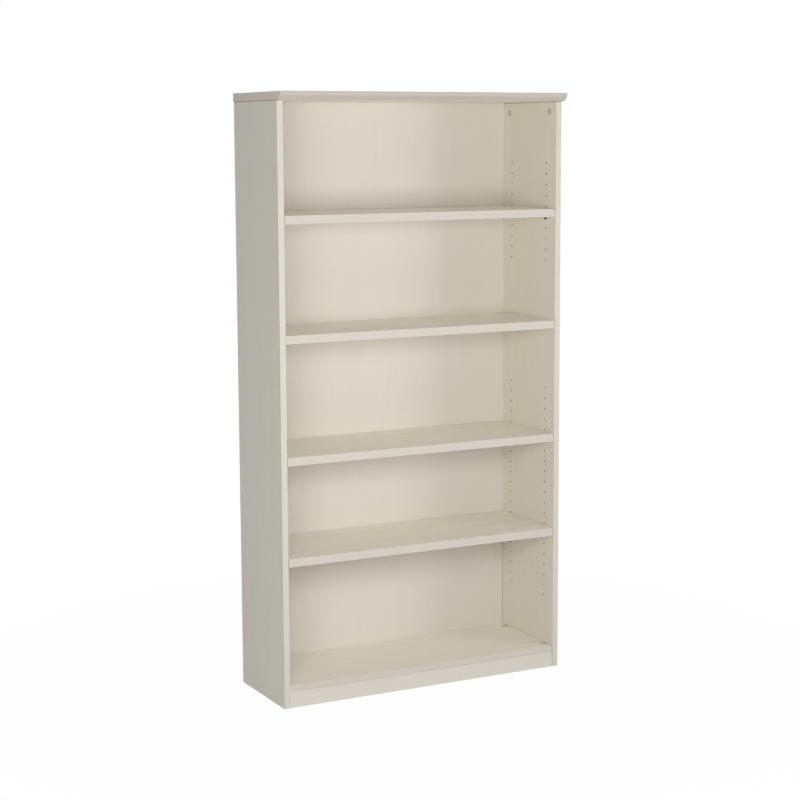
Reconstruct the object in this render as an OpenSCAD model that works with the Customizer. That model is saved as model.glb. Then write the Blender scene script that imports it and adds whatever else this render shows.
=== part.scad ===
// Tall open bookcase in laminated board: one fixed shelf in the middle, three
// shelves on pins that can be moved up and down, a bevelled top and a toe kick.
// Frame: +X to the right seen from the front, +Y to the rear, +Z up.
// The origin is on the floor, at the middle of the overall width and depth.

/* [Overall size] */
// Width of the top, the widest piece
overall_w = 914.4; // [700:0.1:1100]
// Depth from the front of the top to the rear edges
overall_d = 330.2; // [280:0.1:420]
// Height from the floor to the upper face of the top
overall_h = 1727.2; // [1600:0.1:1950]

/* [Top] */
// Thickness of the top
top_t = 23.5; // [20:0.5:32]
// How far the top reaches past each side panel
top_side_overhang = 1.7; // [0:0.1:10]
// How far the top reaches past the front of the side panels
top_front_overhang = 29; // [22:0.5:32]
// Height of the upright face along the top's front
top_land_h = 10.8; // [6:0.1:16]
// How far the bevel under that face reaches back
top_bevel_d = 16.5; // [8:0.5:20]

/* [Side panels] */
// Thickness of the side panels
side_t = 18; // [16:0.5:22]
// Thickness of the edge bands
band_t = 1; // [0.6:0.1:2]
// Radius of the bands' eased corners
band_r = 0.8; // [0.2:0.1:2]

/* [Back panel] */
// Thickness of the back panel
back_t = 3; // [2.5:0.1:6]
// Width of the rabbet in the side panels and the top that holds the back panel
rabbet_w = 9; // [6:0.5:12]

/* [Base] */
// Height of the toe kick
kick_h = 47; // [44:1:90]
// Thickness of the toe kick
kick_t = 18; // [16:0.5:22]
// How far the toe kick stands behind the front of the side panels
kick_recess = 2; // [0:0.5:6]
// Thickness of the bottom shelf
bottom_t = 18; // [16:0.5:25]
// How far the bottom shelf's front stands behind the front of the side panels
bottom_recess = 2.5; // [0:0.1:8]

/* [Fixed shelf] */
// Height of the fixed shelf's underside above the floor
fixed_shelf_z = 1036.3; // [980:0.1:1060]
// Thickness of the fixed shelf
fixed_shelf_t = 24; // [22:0.5:28]
// How far the fixed shelf's front stands behind the front of the side panels
fixed_recess = 1.1; // [0:0.1:8]

/* [Adjustable shelves] */
// Thickness of the adjustable shelves
shelf_t = 24; // [18:0.5:30]
// Gap between each end of an adjustable shelf and the side panel
shelf_end_gap = 1.5; // [1:0.1:4]
// Gap between an adjustable shelf and the back panel
shelf_rear_gap = 2; // [1:0.5:8]
// How far an adjustable shelf's front stands behind the front of the side panels
shelf_recess = 1.3; // [0:0.1:8]
// Pin hole that carries the upper shelf, counted from 0 in the upper rows
upper_shelf_hole = 4; // [1:1:6]
// Pin hole that carries the middle shelf, counted from 0 in the lower rows
middle_shelf_hole = 15; // [13:1:16]
// Pin hole that carries the lower shelf, counted from 0 in the lower rows
lower_shelf_hole = 6; // [2:1:9]

/* [Shelf pins and their holes] */
// Height step from one pin hole to the next
pin_pitch = 32; // [28:1:36]
// Diameter of the pin holes
pin_hole_d = 5; // [4:0.1:7]
// Depth of the pin holes
pin_hole_depth = 10; // [8:0.5:12]
// Running clearance round a pin in its hole
pin_clearance = 0.075; // [0.05:0.005:0.1]
// Length of a pin's stem inside its hole
pin_grip = 8.5; // [6:0.5:9]
// Length of a pin's seat, the flat top of its head
pin_reach = 6.5; // [5:0.1:12]
// Height of a pin's seat above its stem
pin_seat_rise = 0.1; // [0.05:0.05:0.5]
// Width of a pin's head
pin_head_w = 5.5; // [5:0.1:8]
// Height of a pin's head
pin_head_h = 9.6; // [7:0.1:14]
// Height of the short upright face along a pin's seat
pin_lip = 1; // [0.5:0.1:2]
// Length of a pin's head at its foot
pin_foot = 2.4; // [1:0.1:4]
// Chamfer on the end of a pin's stem
pin_chamfer = 0.4; // [0.2:0.1:1]
// Play between a shelf and the pins that it rests on
pin_seat_gap = 0.1; // [0.05:0.05:0.3]
// Distance of the pin holes from the front and the rear of the side panels
pin_inset = 52.5; // [45:0.5:80]
// Height of the lowest pin hole above the bottom shelf
lower_rows_start = 147; // [100:0.1:180]
// Gap from the lower rows' highest hole up to the fixed shelf
lower_rows_end = 184.3; // [120:0.1:190]
// Height of the upper rows' lowest hole above the fixed shelf
upper_rows_start = 175.7; // [100:0.1:180]
// Gap from the highest pin hole up to the top
upper_rows_end = 179.7; // [100:0.1:182]

/* [Cam locks and bolts] */
// Distance of the fittings from the front and the rear of the side panels
fitting_inset = 37; // [34:0.5:40]
// Diameter of the cam locks under the top and behind the toe kick
cam_d = 15; // [12:0.5:18]
// Distance from a cam lock's centre to the joint that it pulls shut
cam_setback = 29.5; // [24:0.5:34]
// Depth of every bolt's axis below the face that its cam is let into
bolt_axis_depth = 9; // [8:0.1:9.5]
// Diameter of the bolts' heads
bolt_head_d = 7; // [6:0.1:7.5]
// Thickness of the bolts' heads
bolt_head_t = 4; // [3:0.1:5]
// Diameter of the bolts' necks, behind their heads
bolt_neck_d = 4; // [3:0.1:5]
// Length of the bolts' necks from the middle of their heads
bolt_neck_l = 5.5; // [4:0.1:7]
// Diameter of the bolts' shafts
bolt_shaft_d = 6; // [5:0.1:6.5]
// Diameter of the bolts' screw ends
bolt_thread_d = 5; // [4:0.1:6]
// Length of the bolts' screw ends
bolt_thread_l = 11; // [8:0.5:12]
// Diameter of the cover caps over the top's cam locks
cap_d = 21; // [17:0.5:24]
// Thickness of the cover caps' flanges
cap_t = 0.8; // [0.5:0.1:1.5]
// Diameter of the shelf connectors' round housings
housing_d = 20; // [19.5:0.1:24]
// Thickness of the floor of a shelf connector's housing
housing_floor_t = 0.5; // [0.3:0.1:1.2]
// Distance of a shelf connector's centre from the end of its shelf
housing_setback = 9.5; // [9:0.1:9.7]
// Diameter of the shelf connectors' cams
housing_cam_d = 13.8; // [12:0.1:14.5]
// Height of the toe kick's bolts above the floor
kick_bolt_z = 31; // [28:0.5:32]
// Height of the toe kick's end dowels above the floor
kick_dowel_z = 11; // [8:0.5:14]
// Thickness of a cam's floor under the bolt's head
cam_floor_t = 0.8; // [0.4:0.1:1.2]
// Width of the cross slots in the cams
slot_w = 1.4; // [0.8:0.1:2]
// Length of the cross slots in the cams
slot_l = 7; // [5:0.1:8]
// Depth of the cross slots in the cams
slot_depth = 2.2; // [1.5:0.1:3]

/* [Dowels and nails] */
// Diameter of the wood dowels
dowel_d = 8; // [6:0.5:8.5]
// Length of the wood dowels
dowel_l = 30; // [26:1:34]
// Chamfer on the ends of a dowel
dowel_chamfer = 1; // [0.5:0.1:1.5]
// Length of a dowel inside a side panel or the bottom shelf's underside
dowel_in_side = 11; // [8:0.5:12]
// Length of a dowel inside the top
dowel_in_top = 15; // [10:0.5:16]
// Distance of the dowels from the fittings beside them
dowel_offset = 32; // [25:1:40]
// Distance from one of the toe kick's upper dowels to the next
kick_dowel_step = 280; // [200:5:320]
// Diameter of the back panel's nails
nail_d = 1.6; // [1.2:0.1:2.5]
// Length of the back panel's nails
nail_l = 20; // [15:1:24]
// Diameter of the nails' flat heads
nail_head_d = 4; // [3.5:0.1:6]
// Thickness of the nails' flat heads
nail_head_t = 0.8; // [0.5:0.1:1.2]
// Widest step from one nail to the next
nail_step = 160; // [100:5:200]
// Distance of the outermost nails from the ends of their rows
nail_end = 60; // [30:5:90]

/* [Hidden] */
// Clearance round a fastener in its hole, and behind a blind fastener
gap = 0.1;
// How far a cutting shape starts outside the face that it cuts
over = 1;
// Share of a step that a row may fall short by and still take its last hole
row_slack = 0.01;
$fn = 48;

// Colours of the laminate, its edge bands and the fittings
laminate_colour = "#d9d3c5";
band_colour = "#e2ddd1";
back_colour = "#d6cfbf";
steel_colour = "#8d8d8b";
dark_steel_colour = "#3b3834";
cap_colour = "#b9b1a0";
housing_colour = "#8f8470";
dowel_colour = "#c9a46c";

// Planes that the pieces line up with
carcass_x = overall_w / 2 - top_side_overhang;
inner_x = carcass_x - side_t;
top_front_y = -overall_d / 2;
front_y = top_front_y + top_front_overhang;
rear_y = overall_d / 2;
top_z = overall_h - top_t;
rabbet_d = back_t + 2 * gap;
back_y = rear_y - rabbet_d;
bottom_mid_z = kick_h + bottom_t / 2;
bottom_top_z = kick_h + bottom_t;
fixed_mid_z = fixed_shelf_z + fixed_shelf_t / 2;
fixed_top_z = fixed_shelf_z + fixed_shelf_t;

// Pin rows
pin_d = pin_hole_d - 2 * pin_clearance;
pin_seat_z = pin_d / 2 + pin_seat_rise;
pin_columns = [front_y + pin_inset, rear_y - pin_inset];
lower_rows_z = bottom_top_z + lower_rows_start;
upper_rows_z = fixed_top_z + upper_rows_start;
lower_rows_n = floor((fixed_shelf_z - lower_rows_end - lower_rows_z) / pin_pitch + row_slack);
upper_rows_n = floor((top_z - upper_rows_end - upper_rows_z) / pin_pitch + row_slack);
pin_heights = concat(
    [for (i = [0:lower_rows_n]) lower_rows_z + i * pin_pitch],
    [for (i = [0:upper_rows_n]) upper_rows_z + i * pin_pitch]
);
upper_pin_z = upper_rows_z + upper_shelf_hole * pin_pitch;
middle_pin_z = lower_rows_z + middle_shelf_hole * pin_pitch;
lower_pin_z = lower_rows_z + lower_shelf_hole * pin_pitch;

// Fittings and dowels
fitting_ys = [front_y + fitting_inset, rear_y - fitting_inset];
dowel_ys = [fitting_ys[0] + dowel_offset, fitting_ys[1] - dowel_offset];
side_mid_x = inner_x + side_t / 2;
bolt_bore_d = bolt_head_d + 2 * gap;
cam_depth = bolt_axis_depth + bolt_bore_d / 2 + cam_floor_t;
housing_depth = cam_depth + gap + housing_floor_t;
kick_y = front_y + kick_recess;
kick_mid_y = kick_y + kick_t / 2;

// Nails: rows up the side panels and across the shelves and the top
nail_side_x = inner_x + rabbet_w / 2;
nail_side_zs = spread(kick_h + nail_end, top_z - nail_end);
nail_cross_xs = spread(-inner_x + nail_end, inner_x - nail_end);
nail_cross_zs = [bottom_mid_z, fixed_mid_z, top_z + rabbet_w / 2];

// Even steps from one end of a row to the other, none wider than nail_step
function spread(from, to) =
    let (n = ceil((to - from) / nail_step))
    [for (i = [0:n]) from + (to - from) * i / n];

// ---- Shared shapes ----

// The right side's copy and its mirror image on the left
module both_sides() {
    children();
    mirror([1, 0, 0]) children();
}

// A section drawn in Y and Z, extruded along X from x0
module along_x(x0, length) {
    translate([x0, 0, 0])
        rotate([90, 0, 90])
            linear_extrude(length) children();
}

// A strip w wide and t deep whose two front corners are eased
module band_section(w, t) {
    r = min(band_r, w / 2);
    intersection() {
        square([w, t]);
        union() {
            translate([0, r]) square([w, t]);
            translate([r, 0]) square([w - 2 * r, t]);
            translate([r, r]) circle(r);
            translate([w - r, r]) circle(r);
        }
    }
}

// A level edge band from -x to x, with its front face at y and its underside at z
module level_band(x, y, z, height) {
    translate([0, y, z])
        along_x(-x, 2 * x)
            mirror([1, 0, 0]) rotate(90) band_section(height, band_t);
}

// A level board from -x to x behind its edge band, with a front face at y
module board(x, y, z, rear, thickness) {
    translate([-x, y + band_t, z]) cube([2 * x, rear - y - band_t, thickness]);
}

// A rod along +Z with chamfered ends
module chamfered_rod(d, length, chamfer) {
    cylinder(d1 = d - 2 * chamfer, d2 = d, h = chamfer);
    translate([0, 0, chamfer]) cylinder(d = d, h = length - 2 * chamfer);
    translate([0, 0, length - chamfer]) cylinder(d1 = d, d2 = d - 2 * chamfer, h = chamfer);
}

// The cross slot of a cam, sunk from its face at z = 0
module cross_slot(w, length, depth) {
    for (a = [0, 90])
        rotate(a)
            translate([-length / 2, -w / 2, -depth]) cube([length, w, depth + over]);
}

// ---- Fittings, each in its own frame ----
// +Z comes out of the face that the fitting is let into, with the face at z = 0.
// +X points at the panel that the fitting's bolt screws into.

// A round cam with a bore for the bolt's head and a cross slot in its face
module cam(d) {
    difference() {
        translate([0, 0, -cam_depth]) cylinder(d = d, h = cam_depth);
        bolt_bore(d);
        cross_slot(slot_w, slot_l, slot_depth);
    }
}

// A bolt from the cam's centre: head, neck, shaft as far as the joint, screw end
module bolt(reach) {
    translate([0, 0, -bolt_axis_depth])
        rotate([0, 90, 0]) {
            translate([0, 0, -bolt_head_t / 2]) cylinder(d = bolt_head_d, h = bolt_head_t);
            cylinder(d = bolt_neck_d, h = bolt_neck_l);
            translate([0, 0, bolt_neck_l]) cylinder(d = bolt_shaft_d, h = reach - bolt_neck_l);
            translate([0, 0, reach]) cylinder(d = bolt_thread_d, h = bolt_thread_l);
        }
}

// The pocket for a cam or a housing
module pocket(d, depth) {
    translate([0, 0, -depth - gap]) cylinder(d = d + 2 * gap, h = depth + gap + over);
}

// The bore for a bolt's head and shaft, from behind the cam's centre to the joint
module bolt_bore(reach) {
    translate([-bolt_bore_d / 2, 0, -bolt_axis_depth])
        rotate([0, 90, 0]) cylinder(d = bolt_bore_d, h = bolt_bore_d / 2 + reach + over);
}

// The bore for a bolt's screw end, in the panel past the joint
module thread_bore(reach) {
    translate([reach - over, 0, -bolt_axis_depth])
        rotate([0, 90, 0]) cylinder(d = bolt_thread_d + 2 * gap, h = over + bolt_thread_l + gap);
}

// A cover cap: a thin round flange with a cross that plugs into the cam's slot
module cover_cap() {
    cylinder(d = cap_d, h = cap_t);
    translate([0, 0, cap_t / 2])
        intersection() {
            cross_slot(slot_w - 2 * gap, slot_l - 2 * gap, slot_depth - gap + cap_t / 2);
            translate([0, 0, -slot_depth - over]) cylinder(d = cam_d, h = slot_depth + over);
        }
}

// A shelf connector's housing, flattened where it meets the end of its shelf
module connector_housing() {
    difference() {
        translate([0, 0, -housing_depth]) cylinder(d = housing_d, h = housing_depth);
        translate([housing_setback - gap, -housing_d / 2, -housing_depth - over])
            cube([housing_d, housing_d, housing_depth + 2 * over]);
        pocket(housing_cam_d, cam_depth);
        bolt_bore(housing_setback);
    }
}

// ---- Places of the fittings on the right-hand side of the bookcase ----

module at_top_cams() {
    for (y = fitting_ys)
        translate([inner_x, y, top_z - cam_setback]) rotate([0, -90, 0]) children();
}

module at_kick_cam() {
    translate([inner_x - cam_setback, kick_y + kick_t, kick_bolt_z]) rotate([-90, 0, 0]) children();
}

module at_bottom_connectors() {
    for (y = fitting_ys)
        translate([inner_x - housing_setback, y, bottom_top_z]) children();
}

module at_fixed_connectors() {
    for (y = fitting_ys)
        translate([inner_x - housing_setback, y, fixed_shelf_z]) rotate([180, 0, 0]) children();
}

// Dowels: local +Z crosses the joint, which is at z = 0
module at_top_dowels() {
    for (y = dowel_ys)
        translate([side_mid_x, y, top_z]) children();
}

module at_shelf_dowels(z) {
    for (y = dowel_ys)
        translate([inner_x, y, z]) rotate([0, 90, 0]) children();
}

module at_kick_end_dowel() {
    translate([inner_x, kick_mid_y, kick_dowel_z]) rotate([0, 90, 0]) children();
}

module at_kick_top_dowels() {
    for (x = [-kick_dowel_step, 0, kick_dowel_step])
        translate([x, kick_mid_y, kick_h]) children();
}

// A dowel whose far end is past its joint by reach, and the bore that holds it
module dowel(reach) {
    translate([0, 0, reach - dowel_l]) chamfered_rod(dowel_d, dowel_l, dowel_chamfer);
}

module dowel_bore(reach) {
    translate([0, 0, reach - dowel_l - gap])
        cylinder(d = dowel_d + 2 * gap, h = dowel_l + 2 * gap);
}

// Nails point forward from the back panel's rear face
module at_nails() {
    for (x = [-nail_side_x, nail_side_x], z = nail_side_zs)
        translate([x, rear_y, z]) rotate([90, 0, 0]) children();
    for (x = nail_cross_xs, z = nail_cross_zs)
        translate([x, rear_y, z]) rotate([90, 0, 0]) children();
}

module nail() {
    cylinder(d = nail_head_d, h = nail_head_t);
    translate([0, 0, nail_head_t]) cylinder(d = nail_d, h = nail_l - nail_head_t);
}

module nail_bore() {
    translate([0, 0, -over]) cylinder(d = nail_head_d + 2 * gap, h = over + nail_head_t);
    cylinder(d = nail_d + 2 * gap, h = nail_l + gap);
}

// ---- Boards ----

// The top in section: square at the rear, with a bevel under the front
module top_section() {
    polygon([
        [top_front_y + top_bevel_d, 0],
        [rear_y, 0],
        [rear_y, top_t],
        [top_front_y, top_t],
        [top_front_y, top_t - top_land_h]
    ]);
}

module top_band(x0) {
    translate([0, 0, top_z]) along_x(x0, band_t) top_section();
}

module top_panel() {
    half_w = overall_w / 2 - band_t;
    color(laminate_colour)
        difference() {
            translate([0, 0, top_z]) along_x(-half_w, 2 * half_w) top_section();
            translate([-inner_x - rabbet_w, back_y, top_z - over])
                cube([2 * (inner_x + rabbet_w), rabbet_d + over, rabbet_w + over]);
            both_sides() at_top_cams() thread_bore(cam_setback);
            both_sides() at_top_dowels() dowel_bore(dowel_in_top);
            at_nails() nail_bore();
        }
}

module top_left_end_band() {
    color(band_colour) top_band(-overall_w / 2);
}

module top_right_end_band() {
    color(band_colour) top_band(overall_w / 2 - band_t);
}

// The right side panel; the left one is its mirror image
module side_panel() {
    difference() {
        translate([inner_x, front_y + band_t, 0]) cube([side_t, rear_y - front_y - band_t, top_z]);
        translate([inner_x - over, back_y, -over])
            cube([rabbet_w + over, rabbet_d + over, top_z + 2 * over]);
        for (y = pin_columns, z = pin_heights)
            translate([inner_x - over, y, z])
                rotate([0, 90, 0]) cylinder(d = pin_hole_d, h = pin_hole_depth + over);
        at_top_cams() pocket(cam_d, cam_depth);
        at_top_cams() bolt_bore(cam_setback);
        at_top_dowels() dowel_bore(dowel_in_top);
        at_kick_cam() thread_bore(cam_setback);
        at_kick_end_dowel() dowel_bore(dowel_in_side);
        at_bottom_connectors() thread_bore(housing_setback);
        at_shelf_dowels(bottom_mid_z) dowel_bore(dowel_in_side);
        at_fixed_connectors() thread_bore(housing_setback);
        at_shelf_dowels(fixed_mid_z) dowel_bore(dowel_in_side);
        at_nails() nail_bore();
    }
}

module left_side_panel() {
    color(laminate_colour) mirror([1, 0, 0]) side_panel();
}

module right_side_panel() {
    color(laminate_colour) side_panel();
}

module side_edge_band() {
    translate([inner_x, front_y, 0]) linear_extrude(top_z) band_section(side_t, band_t);
}

module left_side_edge_band() {
    color(band_colour) mirror([1, 0, 0]) side_edge_band();
}

module right_side_edge_band() {
    color(band_colour) side_edge_band();
}

module back_panel() {
    half_w = inner_x + rabbet_w - gap;
    color(back_colour)
        difference() {
            translate([-half_w, rear_y - back_t, kick_h])
                cube([2 * half_w, back_t, top_z + rabbet_w - gap - kick_h]);
            at_nails() nail_bore();
        }
}

module toe_kick() {
    color(laminate_colour)
        difference() {
            translate([-inner_x, kick_y, 0]) cube([2 * inner_x, kick_t, kick_h]);
            both_sides() at_kick_cam() pocket(cam_d, cam_depth);
            both_sides() at_kick_cam() bolt_bore(cam_setback);
            both_sides() at_kick_end_dowel() dowel_bore(dowel_in_side);
            at_kick_top_dowels() dowel_bore(dowel_in_side);
        }
}

module bottom_shelf() {
    color(laminate_colour)
        difference() {
            board(inner_x, front_y + bottom_recess, kick_h, back_y, bottom_t);
            both_sides() at_bottom_connectors() pocket(housing_d, housing_depth);
            both_sides() at_shelf_dowels(bottom_mid_z) dowel_bore(dowel_in_side);
            at_kick_top_dowels() dowel_bore(dowel_in_side);
            at_nails() nail_bore();
        }
}

module bottom_shelf_edge_band() {
    color(band_colour) level_band(inner_x, front_y + bottom_recess, kick_h, bottom_t);
}

module fixed_shelf() {
    color(laminate_colour)
        difference() {
            board(inner_x, front_y + fixed_recess, fixed_shelf_z, back_y, fixed_shelf_t);
            both_sides() at_fixed_connectors() pocket(housing_d, housing_depth);
            both_sides() at_shelf_dowels(fixed_mid_z) dowel_bore(dowel_in_side);
            at_nails() nail_bore();
        }
}

module fixed_shelf_edge_band() {
    color(band_colour) level_band(inner_x, front_y + fixed_recess, fixed_shelf_z, fixed_shelf_t);
}

// ---- Adjustable shelves and their pins ----

// Underside of a shelf that rests on pins whose axes are at pin_z
function shelf_z(pin_z) = pin_z + pin_seat_z + pin_seat_gap;

module movable_shelf(pin_z) {
    color(laminate_colour)
        board(inner_x - shelf_end_gap, front_y + shelf_recess, shelf_z(pin_z),
            back_y - shelf_rear_gap, shelf_t);
}

module movable_shelf_band(pin_z) {
    color(band_colour)
        level_band(inner_x - shelf_end_gap, front_y + shelf_recess, shelf_z(pin_z), shelf_t);
}

module upper_shelf() {
    movable_shelf(upper_pin_z);
}

module upper_shelf_edge_band() {
    movable_shelf_band(upper_pin_z);
}

module middle_shelf() {
    movable_shelf(middle_pin_z);
}

module middle_shelf_edge_band() {
    movable_shelf_band(middle_pin_z);
}

module lower_shelf() {
    movable_shelf(lower_pin_z);
}

module lower_shelf_edge_band() {
    movable_shelf_band(lower_pin_z);
}

// The head of a pin from its side: a level seat over a slope back to its foot
module pin_head_section() {
    polygon([
        [0, pin_seat_z],
        [-pin_reach, pin_seat_z],
        [-pin_reach, pin_seat_z - pin_lip],
        [-pin_foot, pin_seat_z - pin_head_h],
        [0, pin_seat_z - pin_head_h]
    ]);
}

// A pin of the right side panel, with its head against the mouth of its hole
module headed_pin() {
    translate([0, pin_head_w / 2, 0])
        rotate([90, 0, 0]) linear_extrude(pin_head_w) pin_head_section();
    translate([-pin_foot / 2, 0, 0])
        rotate([0, 90, 0]) chamfered_rod(pin_d, pin_foot / 2 + pin_grip, pin_chamfer);
}

// A steel pin in the side panel at side (-1 left, 1 right) and in the given row
module shelf_pin(side, row, pin_z) {
    color(dark_steel_colour)
        translate([side * inner_x, pin_columns[row], pin_z])
            rotate([0, 0, 90 - side * 90]) headed_pin();
}

module upper_pin_front_left() {
    shelf_pin(-1, 0, upper_pin_z);
}

module upper_pin_front_right() {
    shelf_pin(1, 0, upper_pin_z);
}

module upper_pin_rear_left() {
    shelf_pin(-1, 1, upper_pin_z);
}

module upper_pin_rear_right() {
    shelf_pin(1, 1, upper_pin_z);
}

module middle_pin_front_left() {
    shelf_pin(-1, 0, middle_pin_z);
}

module middle_pin_front_right() {
    shelf_pin(1, 0, middle_pin_z);
}

module middle_pin_rear_left() {
    shelf_pin(-1, 1, middle_pin_z);
}

module middle_pin_rear_right() {
    shelf_pin(1, 1, middle_pin_z);
}

module lower_pin_front_left() {
    shelf_pin(-1, 0, lower_pin_z);
}

module lower_pin_front_right() {
    shelf_pin(1, 0, lower_pin_z);
}

module lower_pin_rear_left() {
    shelf_pin(-1, 1, lower_pin_z);
}

module lower_pin_rear_right() {
    shelf_pin(1, 1, lower_pin_z);
}

// ---- Fasteners, each group of like pieces as separate solids ----

module cam_locks() {
    color(steel_colour) {
        both_sides() at_top_cams() cam(cam_d);
        both_sides() at_kick_cam() cam(cam_d);
    }
}

module cam_bolts() {
    color(steel_colour) {
        both_sides() at_top_cams() bolt(cam_setback);
        both_sides() at_kick_cam() bolt(cam_setback);
    }
}

module cam_cover_caps() {
    color(cap_colour) both_sides() at_top_cams() cover_cap();
}

module connector_housings() {
    color(housing_colour) {
        both_sides() at_bottom_connectors() connector_housing();
        both_sides() at_fixed_connectors() connector_housing();
    }
}

module connector_cams() {
    color(steel_colour) {
        both_sides() at_bottom_connectors() cam(housing_cam_d);
        both_sides() at_fixed_connectors() cam(housing_cam_d);
    }
}

module connector_bolts() {
    color(steel_colour) {
        both_sides() at_bottom_connectors() bolt(housing_setback);
        both_sides() at_fixed_connectors() bolt(housing_setback);
    }
}

module wood_dowels() {
    color(dowel_colour) {
        both_sides() at_top_dowels() dowel(dowel_in_top);
        both_sides() at_shelf_dowels(bottom_mid_z) dowel(dowel_in_side);
        both_sides() at_shelf_dowels(fixed_mid_z) dowel(dowel_in_side);
        both_sides() at_kick_end_dowel() dowel(dowel_in_side);
        at_kick_top_dowels() dowel(dowel_in_side);
    }
}

module back_panel_nails() {
    color(steel_colour) at_nails() nail();
}

top_panel();
top_left_end_band();
top_right_end_band();
left_side_panel();
right_side_panel();
left_side_edge_band();
right_side_edge_band();
back_panel();
toe_kick();
bottom_shelf();
bottom_shelf_edge_band();
fixed_shelf();
fixed_shelf_edge_band();
upper_shelf();
upper_shelf_edge_band();
middle_shelf();
middle_shelf_edge_band();
lower_shelf();
lower_shelf_edge_band();
upper_pin_front_left();
upper_pin_front_right();
upper_pin_rear_left();
upper_pin_rear_right();
middle_pin_front_left();
middle_pin_front_right();
middle_pin_rear_left();
middle_pin_rear_right();
lower_pin_front_left();
lower_pin_front_right();
lower_pin_rear_left();
lower_pin_rear_right();
cam_locks();
cam_bolts();
cam_cover_caps();
connector_housings();
connector_cams();
connector_bolts();
wood_dowels();
back_panel_nails();
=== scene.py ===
"""Tall bookcase with adjustable shelves: its finishes, its fine parts and a plain studio round it."""
import math

import bmesh
import bpy
from mathutils import Matrix, Vector


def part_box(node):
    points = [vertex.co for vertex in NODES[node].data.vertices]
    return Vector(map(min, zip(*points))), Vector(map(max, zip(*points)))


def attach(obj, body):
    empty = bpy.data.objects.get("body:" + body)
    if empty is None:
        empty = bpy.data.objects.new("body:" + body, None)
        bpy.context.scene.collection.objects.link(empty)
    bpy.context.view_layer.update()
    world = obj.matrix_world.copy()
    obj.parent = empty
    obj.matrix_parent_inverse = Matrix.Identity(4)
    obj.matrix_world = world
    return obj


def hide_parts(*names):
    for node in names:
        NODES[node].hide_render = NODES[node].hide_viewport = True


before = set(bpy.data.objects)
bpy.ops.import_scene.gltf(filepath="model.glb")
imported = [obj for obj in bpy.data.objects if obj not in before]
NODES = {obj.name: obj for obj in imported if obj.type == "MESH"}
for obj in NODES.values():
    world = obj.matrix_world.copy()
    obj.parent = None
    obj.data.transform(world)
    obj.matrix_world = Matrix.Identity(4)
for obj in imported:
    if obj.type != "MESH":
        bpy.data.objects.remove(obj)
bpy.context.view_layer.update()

bl_info = {
    "name": "Adjustable Bookcase",
    "version": (1, 0, 0),
    "blender": (4, 5, 0),
    "location": "3D View > Sidebar > Bookcase",
    "description": "Dresses a laminated bookcase and builds its top, pins and fittings",
    "category": "Object",
}

MM = 0.001
TOP_LO, TOP_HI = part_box("top_panel")
BACK_LO, BACK_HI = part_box("back_panel")
FIXED_LO, FIXED_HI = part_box("fixed_shelf")
# From the middle of the bookcase to the inner face of a side
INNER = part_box("right_side_panel")[0].x

# Which way the grain runs on each board, and which way the board is thin
BOARDS = {"toe_kick": ("X", "Y")}
# Which way each edge band runs
BANDS = {}
for side in ("left_side", "right_side"):
    BOARDS[side + "_panel"] = ("Z", "X")
    BANDS[side + "_edge_band"] = "Z"
for shelf in ("bottom_shelf", "fixed_shelf", "upper_shelf", "middle_shelf", "lower_shelf"):
    BOARDS[shelf] = ("X", "Z")
    BANDS[shelf + "_edge_band"] = "X"
PINS = [f"{shelf}_pin_{row}_{side}" for shelf in ("upper", "middle", "lower")
        for row in ("front", "rear") for side in ("left", "right")]
# Room round what is let into a board
CLEARANCE = 0.1 * MM
# How far from a board's faces its finish counts as the face's, and not the core's
SKIN = 0.25 * MM
UP = Vector((0, 0, 1))
REARWARD = Vector((0, 1, 0))
RIGHTWARD = Vector((1, 0, 0))
WHITE = (1, 1, 1, 1)
# Faces that meet more sharply than this show an edge
CRISP = math.radians(32)


def linear(code):
    """An sRGB hex colour as linear red, green and blue."""
    channels = [int(code[i:i + 2], 16) / 255 for i in (1, 3, 5)]
    return [c / 12.92 if c <= 0.04045 else ((c + 0.055) / 1.055) ** 2.4 for c in channels]


def colour(name, code, description):
    return bpy.props.FloatVectorProperty(name=name, description=description, subtype="COLOR",
                                         default=linear(code), min=0, max=1)


def length(name, metres, description):
    return bpy.props.FloatProperty(name=name, description=description, default=metres,
                                   subtype="DISTANCE", unit="LENGTH", min=0, precision=4)


def count(name, number, description):
    return bpy.props.IntProperty(name=name, description=description, default=number, min=1)


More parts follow.
